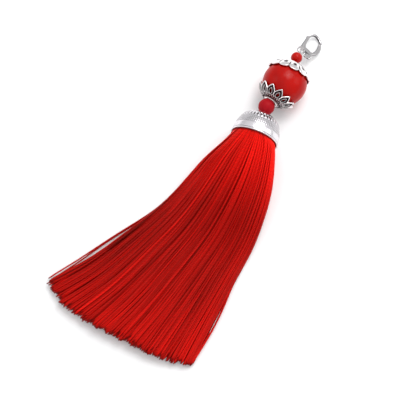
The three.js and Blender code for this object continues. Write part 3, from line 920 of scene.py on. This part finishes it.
def build_pin(settings, material):
    """A round wire carried along the string and round the upright loop at its end."""
    heading = level_heading()
    angle = np.radians(np.linspace(*LOOP_TURN, 15))[:, None]
    loop = loop_centre() + LOOP_RADIUS * (
        np.array([0.0, 0.0, 1.0]) * np.sin(angle) - heading * np.cos(angle))
    into, out_of = string_point(LOWER_END, BEAD_RADIUS), string_point(UPPER_END, BEAD_RADIUS)
    route = np.concatenate([[
        np.array([0.0, PIN_FOOT_Y, CAP_AXIS_Z]),
        LOWER_BEAD,
        into,
        (into + out_of) / 2,
        out_of,
        UPPER_BEAD,
        string_point(UPPER_END, UPPER_BEAD_AT + TOP_BEAD_RADIUS),
    ], loop])
    path = spline(route, PIN_STATIONS)
    tangent = unit(np.gradient(path, axis=0))
    side = np.cross(heading, [0.0, 0.0, 1.0])
    side = unit(side - tangent * (tangent @ side)[:, None])
    rings = rings_round(path, side, np.cross(side, tangent), settings.wire / MM / 2, PIN_SIDES)
    shell = Shell()
    shell.add_tube(rings, path[[0, -1]], flip=True)
    shell.make("pin_wire", material, "bright_silver", "eye_pin")


# ---- clasp ----

# Edges of the clasp's body and gate, as outer x, outer y, inner x and inner y.
CLASP_BODY = (
    (-1.32, 0.9, 1.32, 0.9), (-1.45, 1.45, 1.5, 1.4), (-1.55, 2.0, 1.15, 2.0),
    (-1.68, 2.5, 0.6, 2.3), (-1.85, 3.1, -0.1, 2.75), (-2.05, 3.8, -0.6, 3.4),
    (-2.25, 4.6, -0.95, 4.3), (-2.5, 5.4, -1.25, 5.2), (-2.68, 6.0, -1.5, 6.0),
    (-3.0, 6.45, -1.7, 6.55), (-2.62, 7.0, -1.86, 7.1), (-2.38, 7.9, -1.86, 7.9),
    (-2.25, 8.9, -1.75, 8.65), (-1.95, 9.9, -1.45, 9.25), (-1.3, 10.42, -0.9, 9.7),
    (0.0, 10.63, 0.1, 9.79), (1.57, 10.3, 0.95, 9.66), (2.65, 9.6, 1.75, 9.3),
)
CLASP_GATE = (
    (2.88, 9.0, 2.0, 8.5), (3.5, 8.5, 2.4, 7.85), (3.96, 7.9, 2.74, 7.1),
    (4.35, 7.1, 3.0, 6.3), (4.54, 6.2, 3.15, 5.6), (4.62, 5.3, 3.2, 5.0),
    (4.6, 4.4, 3.18, 4.3), (4.42, 3.7, 3.1, 3.6), (4.15, 3.1, 2.4, 3.0),
    (3.95, 2.3, 1.6, 2.2), (4.0, 1.7, 1.85, 1.3), (4.25, 1.15, 1.97, 0.4),
    (4.2, 0.45, 2.12, -0.35), (3.6, 0.0, 2.4, -0.45),
)
# One of the two thin cheeks of the body that hold the gate's boss between them.
CLASP_CHEEK = (
    (0.3, 2.3, 0.3, 1.0), (0.9, 2.5, 0.9, 1.05), (1.6, 2.75, 1.6, 1.25),
    (2.3, 2.85, 2.3, 1.4), (2.85, 2.65, 2.85, 1.6), (3.1, 2.35, 3.1, 1.9),
)
CHEEK_THICKNESS = 0.14
RIBBON_SIDES = 20
CLASP_PIVOT = (2.4, 2.15)
CLASP_KNOB = (4.3, 0.76)
# Painted shade on the clasp's rounded sides.
CLASP_PAINTED_EDGE_SHADE = (0.10, 0.10, 0.11, 1.0)


def clasp_place(points):
    """From the clasp's own plane to the tassel's frame: rolled about its length, sloped down
    from the ring, and turned to its heading, with its ring on the pin's loop."""
    turn = Matrix.Rotation(-CLASP_HEADING, 3, "Z")
    slope = Matrix.Rotation(-CLASP_SLOPE, 3, "X") @ Matrix.Rotation(CLASP_ROLL, 3, "Y")
    matrix = np.array(turn @ slope)
    held = np.array([-np.sin(CLASP_HANGS_AT), np.cos(CLASP_HANGS_AT), 0.0])
    hang = matrix @ held * (CLASP_BORE + CLASP_BAND / 2)
    return points @ matrix.T + loop_centre() + hang


def ribbon(shell, table, thickness, samples, squareness, level=0.0):
    """A rounded section carried between two edge curves: a superellipse joins the top, the
    edges and the underside, and its middle is at the level. Its rounded sides get painted shade."""
    edges = spline(table, samples)
    around = round_angles(RIBBON_SIDES)
    c, s = np.cos(around), np.sin(around)
    wide = np.sign(c) * np.abs(c) ** squareness
    high = np.sign(s) * np.abs(s) ** squareness
    middle = (edges[:, :2] + edges[:, 2:]) / 2
    half = (edges[:, :2] - edges[:, 2:]) / 2
    flat = middle[:, None] + half[:, None] * wide[None, :, None]
    z = np.broadcast_to(level + thickness / 2 * high, flat.shape[:2])
    ends = np.column_stack([middle[[0, -1]], [level, level]])
    # The rounded sides are painted darker, as shade.
    shell.add_tube(np.concatenate([flat, z[..., None]], -1), ends,
                   1.0 - 0.85 * smoothstep(np.abs(wide), 0.80, 1.0))


def button(shell, centre, radius, thickness, rows=9, columns=32):
    """A round cushion of metal: a superellipse turned about its own middle."""
    angle = np.linspace(-np.pi / 2, np.pi / 2, rows)
    r = np.maximum(radius * np.abs(np.cos(angle)) ** 0.45, radius * 0.02)[:, None]
    z = (thickness / 2 * np.sign(np.sin(angle)) * np.abs(np.sin(angle)) ** 0.6)[:, None]
    around = round_angles(columns)
    grid = np.stack(np.broadcast_arrays(
        centre[0] + r * np.cos(around), centre[1] + r * np.sin(around), z), -1)
    shell.add_tube(grid, np.array([(*centre, z[0, 0]), (*centre, z[-1, 0])]))


class ClaspSettings(bpy.types.PropertyGroup):
    thickness: length_setting("Thickness", "Thickness of the clasp", CLASP_THICKNESS)
    silver: colour_setting("Silver", "Colour of the clasp and the pin", 0.60, 0.58, 0.585)


def build_clasp(settings, material):
    """The cast body with its ring, hook and cheeks, and the sprung gate with its thumb lever."""
    thickness = settings.thickness / MM
    body = Shell()
    ribbon(body, CLASP_BODY, thickness, samples=90, squareness=0.55)
    for level in (-thickness / 2, thickness / 2):
        ribbon(body, CLASP_CHEEK, CHEEK_THICKNESS, 30, squareness=0.55, level=level)
    ring = torus(CLASP_BORE + CLASP_BAND / 2, CLASP_BAND / 2, thickness / 2, rows=48, columns=16)
    body.add_ring(ring[..., [2, 0, 1]], flip=True)
    body.make("clasp_cast", material, "bright_silver", "clasp_body", clasp_place)
    gate = Shell()
    ribbon(gate, CLASP_GATE, thickness * 0.8, samples=60, squareness=0.6)
    button(gate, CLASP_PIVOT, 0.85, thickness=thickness * 0.8)
    button(gate, CLASP_KNOB, 0.5, thickness=thickness * 0.9)
    gate.make("clasp_lever", material, "bright_silver", "clasp_gate", clasp_place, body="gate")


# ---- stage ----

class StageSettings(bpy.types.PropertyGroup):
    azimuth: angle_setting("Azimuth", "Camera's bearing round the charm", 20.2)
    elevation: angle_setting("Elevation", "Camera's height angle over the floor", 71.0)
    distance: length_setting(
        "Distance", "From the camera to the floor in the view's middle", 500.0)
    focal_length: FloatProperty(
        name="Focal length", description="Lens for a 36 mm wide sensor", default=127.29)
    key_power: power_setting("Key power", "Power of the main softbox", 1.66)
    fill_power: power_setting("Fill power", "Power of the fill softbox", 0.15)
    glint_power: power_setting("Glint power", "Power of the small lamp in the key", 0.20)
    side_power: power_setting("Side power", "Power of the softbox on the right", 0.22)


FLOOR_HALF = 1.2
FLOOR_DROP = 0.00002  # under the surface, so that nothing lies in its plane


def add_camera(settings, target, right, up, back):
    """The camera at its distance back from the target, with the view's right and up."""
    camera = bpy.data.cameras.new("view")
    camera.lens = settings.focal_length
    camera.sensor_width = 36.0
    camera.clip_end = 10.0
    eye = bpy.data.objects.new("view", camera)
    bpy.context.scene.collection.objects.link(eye)
    rotation = Matrix((right, up, back)).transposed()
    eye.matrix_world = Matrix.Translation(target + back * settings.distance) @ rotation.to_4x4()
    bpy.context.scene.camera = eye


def add_floor():
    """A broad pale floor with the faintest of clouding."""
    mesh = bpy.data.meshes.new("floor")
    corners = FLOOR_HALF * np.array([(-1, -1), (1, -1), (1, 1), (-1, 1)])
    fill_mesh(mesh, np.column_stack([corners, np.full(4, -FLOOR_DROP)]),
              np.array([[0, 1, 2, 3]]), np.zeros((0, 3), int))
    material, tree, shader = new_material("pale_floor")
    grain = noise_node(tree, 60.0)
    fill_inputs(tree, shader, {
        "Base Color": mix_colours(tree, grain, (0.93, 0.93, 0.93, 1), (0.95, 0.95, 0.95, 1)),
        "Roughness": 0.7,
        "Specular IOR Level": 0.2,
    })
    mesh.materials.append(material)
    floor = bpy.data.objects.new("floor", mesh)
    bpy.context.scene.collection.objects.link(floor)


def add_softbox(name, place, target, size, power):
    """A square area light, turned to face its target."""
    light = bpy.data.lights.new(name, "AREA")
    light.shape = "SQUARE"
    light.size = size
    light.energy = power
    lamp = bpy.data.objects.new(name, light)
    bpy.context.scene.collection.objects.link(lamp)
    lamp.location = place
    lamp.rotation_euler = (target - place).to_track_quat("-Z", "Y").to_euler()


def build_stage(settings):
    """A pale floor, soft lights, a sky that is brighter overhead, and the camera."""
    scene = bpy.context.scene
    a, e = settings.azimuth, settings.elevation
    right = Vector((np.cos(a), np.sin(a), 0.0))
    back = Vector((np.sin(a) * np.cos(e), -np.cos(a) * np.cos(e), np.sin(e)))
    target = Vector(ORIGIN) + Vector((VIEW_X, VIEW_Y, 0.0)) * MM
    add_camera(settings, target, right, back.cross(right), back)
    add_floor()
    flat_up = Vector((-np.sin(a), np.cos(a), 0.0))
    centre = Vector((0.0, 0.0, 0.005))
    # Each light's way to the view's right, up the floor and over it, and its size, in metres.
    for name, across, beyond, above, size, power in (
        ("key", 0.20, 0.24, 0.52, 0.40, settings.key_power),
        ("fill", -0.45, 0.10, 0.40, 0.30, settings.fill_power),
        ("glint", 0.17, 0.20, 0.44, 0.12, settings.glint_power),
        ("side", 0.46, 0.02, 0.24, 0.26, settings.side_power),
    ):
        place = centre + right * across + flat_up * beyond + Vector((0.0, 0.0, above))
        add_softbox(name, place, centre, size, power)
    world = bpy.data.worlds.new("studio")
    world.use_nodes = True
    tree = world.node_tree
    sky = add_node(tree, "ShaderNodeTexCoord").outputs["Generated"]
    rise = add_node(tree, "ShaderNodeSeparateXYZ", {0: sky}).outputs[2]
    fill_inputs(tree, tree.nodes["Background"], {
        "Color": (0.98, 0.99, 1.0, 1.0), "Strength": map_range(tree, rise, 0.0, 1.0, 0.60, 0.95)})
    scene.world = world
    scene.view_settings.view_transform = "Standard"
    scene.view_settings.look = "None"


# ---- add-on ----

class TASSEL_OT_fringe(bpy.types.Operator):
    """Lay the silk cords of the fringe"""
    bl_idname = "tassel.fringe"
    bl_label = "Fringe"

    def execute(self, context):
        build_fringe(context.scene.tassel_fringe)
        return {"FINISHED"}


class TASSEL_OT_cap(bpy.types.Operator):
    """Turn the tassel's silver cap"""
    bl_idname = "tassel.cap"
    bl_label = "Tassel cap"

    def execute(self, context):
        build_cap(context.scene.tassel_cap)
        return {"FINISHED"}


class TASSEL_OT_bead_caps(bpy.types.Operator):
    """Make the two petalled caps of the big bead"""
    bl_idname = "tassel.bead_caps"
    bl_label = "Bead caps"

    def execute(self, context):
        build_bead_caps(context.scene.tassel_bead_caps)
        return {"FINISHED"}


class TASSEL_OT_beads(bpy.types.Operator):
    """Turn the three beads"""
    bl_idname = "tassel.beads"
    bl_label = "Beads"

    def execute(self, context):
        build_beads(context.scene.tassel_beads)
        return {"FINISHED"}


class TASSEL_OT_clasp(bpy.types.Operator):
    """Make the eye pin and the lobster clasp on its loop"""
    bl_idname = "tassel.clasp"
    bl_label = "Pin and clasp"

    def execute(self, context):
        settings = context.scene.tassel_clasp
        material = material_once(silver_material, "polished_silver", settings.silver,
                                 CLASP_PAINTED_EDGE_SHADE, roughness=0.12, depth=0.01)
        build_pin(context.scene.tassel_pin, material)
        build_clasp(settings, material)
        return {"FINISHED"}


class TASSEL_OT_stage(bpy.types.Operator):
    """Set the floor, the lights and the camera"""
    bl_idname = "tassel.stage"
    bl_label = "Stage"

    def execute(self, context):
        build_stage(context.scene.tassel_stage)
        return {"FINISHED"}


class TASSEL_PT_sidebar(bpy.types.Panel):
    """The charm's pieces, in the order in which they are made"""
    bl_idname = "TASSEL_PT_sidebar"
    bl_label = "Silk tassel charm"
    bl_space_type = "VIEW_3D"
    bl_region_type = "UI"
    bl_category = "Tassel"

    def draw(self, context):
        for operator in OPERATORS:
            self.layout.operator(operator.bl_idname)


SETTINGS = {
    "tassel_fringe": FringeSettings,
    "tassel_cap": CapSettings,
    "tassel_bead_caps": BeadCapSettings,
    "tassel_beads": BeadSettings,
    "tassel_pin": PinSettings,
    "tassel_clasp": ClaspSettings,
    "tassel_stage": StageSettings,
}
OPERATORS = (TASSEL_OT_stage, TASSEL_OT_fringe, TASSEL_OT_cap, TASSEL_OT_bead_caps,
             TASSEL_OT_beads, TASSEL_OT_clasp)


def register():
    for group in (*SETTINGS.values(), *OPERATORS, TASSEL_PT_sidebar):
        bpy.utils.register_class(group)
    for name, group in SETTINGS.items():
        setattr(bpy.types.Scene, name, PointerProperty(type=group))


def unregister():
    for name in SETTINGS:
        delattr(bpy.types.Scene, name)
    for group in (TASSEL_PT_sidebar, *OPERATORS, *SETTINGS.values()):
        bpy.utils.unregister_class(group)


def main():
    register()
    for operator in OPERATORS:
        group, name = operator.bl_idname.split(".")
        if getattr(getattr(bpy.ops, group), name)() != {"FINISHED"}:
            raise RuntimeError(f"{operator.bl_idname} did not finish")


if __name__ == "__main__":
    main()
